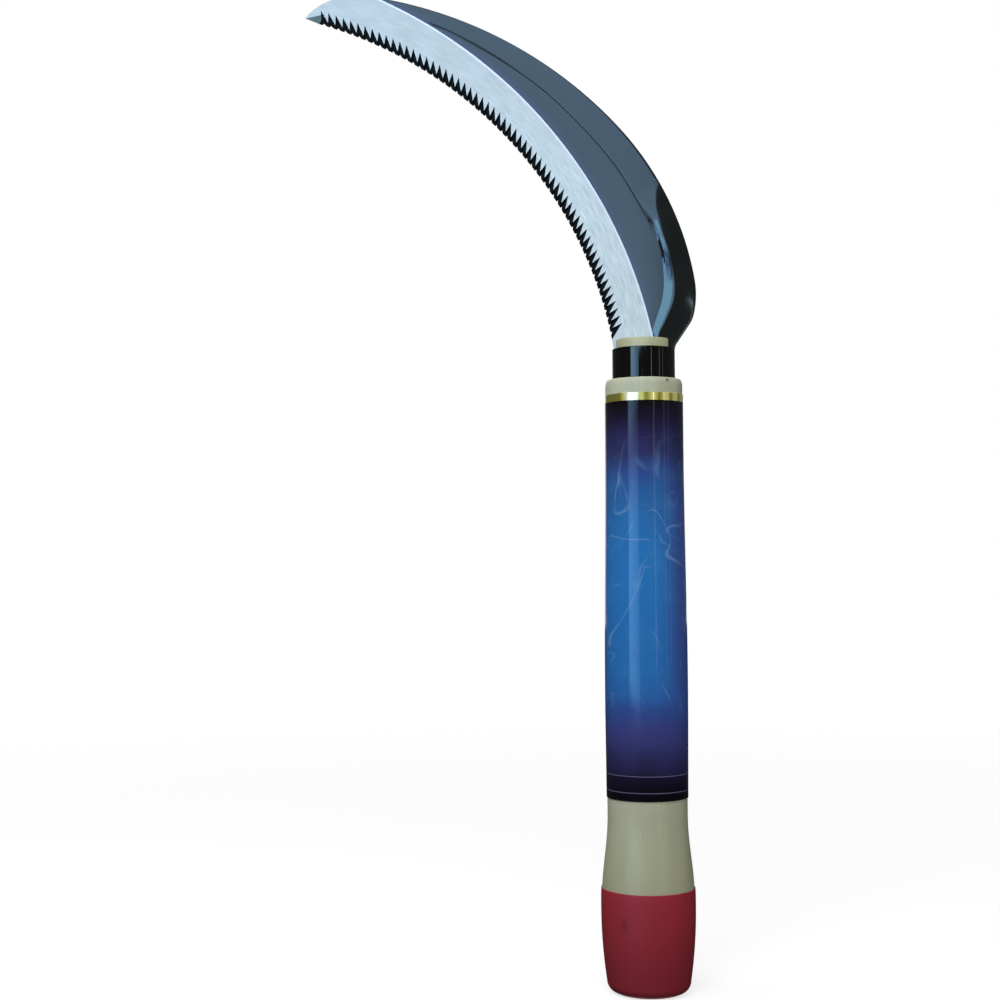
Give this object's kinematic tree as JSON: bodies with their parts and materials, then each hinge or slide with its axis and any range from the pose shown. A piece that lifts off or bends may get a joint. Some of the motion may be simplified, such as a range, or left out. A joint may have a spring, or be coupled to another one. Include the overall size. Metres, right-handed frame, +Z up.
{
  "type": "serrated hand sickle",
  "caption": "Hand sickle with a curved, finely serrated steel blade held in a turned wooden handle by a ferrule and a nail, for cutting grass and grain.",
  "frame": {"origin": "middle of the flat butt face of the handle", "axes": "+Z up the handle's axis towards the blade, the blade lies in the XZ plane with its tip towards -X, and its ground side faces -Y"},
  "size_m": [0.1297, 0.0308, 0.3295],
  "materials": {
    "handle_wood": "smooth turned, unvarnished pale hardwood",
    "ferrule_black": "gloss black",
    "blade_steel": "black scale on the flat, ground bright on the bevel",
    "nail_steel": "semi-gloss black",
    "gold_foil": "polished foil",
    "printed_film": "glossy printed film, dark at both ends and blue between",
    "red_dip": "glossy dipped coat, dark red"
  },
  "bodies": {
    "root": {"handle": "handle_wood", "ferrule": "ferrule_black", "blade": "blade_steel", "ferrule_nail": "nail_steel", "gold_band": "gold_foil", "label_sleeve": "printed_film", "red_dipped_end": "red_dip"}
  },
  "joints": []
}
